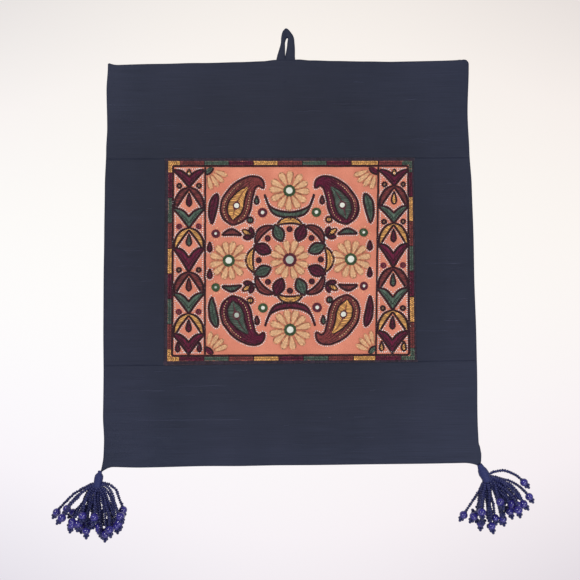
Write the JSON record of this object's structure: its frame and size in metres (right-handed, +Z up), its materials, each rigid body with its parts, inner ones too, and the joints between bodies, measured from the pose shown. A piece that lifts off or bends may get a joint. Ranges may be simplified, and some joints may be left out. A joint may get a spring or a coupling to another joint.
{
  "type": "mirror work wall hanging",
  "caption": "Wall hanging of dark silk with an embroidered mirror work panel, a cloth hanging loop and beaded corner tassels.",
  "frame": {"origin": "crown of the hanging loop's eye, where a nail or hook bears", "axes": "+X to the right as seen from the front, +Y towards the wall, +Z up; the front faces -Y"},
  "size_m": [0.4727, 0.0225, 0.5098],
  "materials": {
    "silk": "dark navy slubbed raw silk, soft low sheen",
    "embroidery": "coral cotton ground worked with chain, herringbone and buttonhole stitches in dull thread",
    "tassel": "opaque glossy cobalt glass beads on dark navy seed-bead strands under a bound thread head",
    "mirror": "silvered glass cut by hand"
  },
  "bodies": {
    "root": {"top_strip": "silk", "bottom_strip": "silk", "left_strip": "silk", "right_strip": "silk", "embroidered_panel": "embroidery", "hanging_loop": "silk", "tassel_left": "tassel", "tassel_right": "tassel", "mirror_centre_1": "mirror", "mirror_end_flower_1": "mirror", "mirror_end_flower_2": "mirror", "mirror_side_flower_1": "mirror", "mirror_side_flower_2": "mirror", "mirror_paisley_1": "mirror", "mirror_paisley_2": "mirror", "mirror_paisley_3": "mirror", "mirror_paisley_4": "mirror", "mirror_spot_1": "mirror", "mirror_spot_2": "mirror", "mirror_spot_3": "mirror", "mirror_spot_4": "mirror", "mirror_corner_spot_1": "mirror", "mirror_corner_spot_2": "mirror", "mirror_corner_spot_3": "mirror", "mirror_corner_spot_4": "mirror"}
  },
  "joints": []
}
